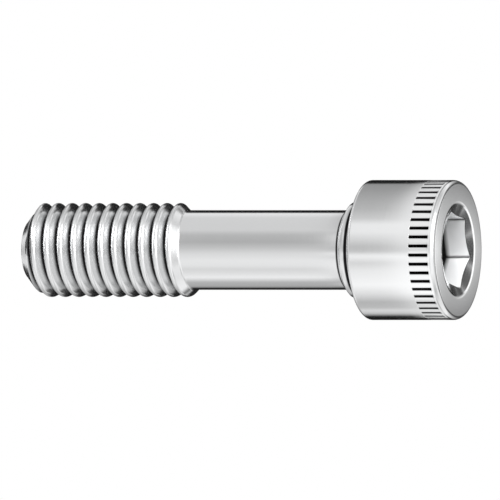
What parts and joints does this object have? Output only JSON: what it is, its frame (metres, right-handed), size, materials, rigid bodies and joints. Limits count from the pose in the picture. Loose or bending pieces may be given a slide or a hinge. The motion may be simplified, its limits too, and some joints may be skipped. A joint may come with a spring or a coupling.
{
  "type": "socket head cap screw",
  "caption": "Socket head cap screw with a round knurled head, a hex socket, a plain reduced shank and a right-hand threaded end, for clamping parts together.",
  "frame": {"origin": "centre of the head's face, in the plane that the screw stands on", "axes": "+Z along the screw's axis from the head's face to the threaded tip; two of the hex socket's corners point along +Y and -Y"},
  "size_m": [0.0188, 0.0188, 0.0615],
  "materials": {
    "steel": "satin"
  },
  "bodies": {
    "root": {"socket_head_cap_screw": "steel"}
  },
  "joints": []
}
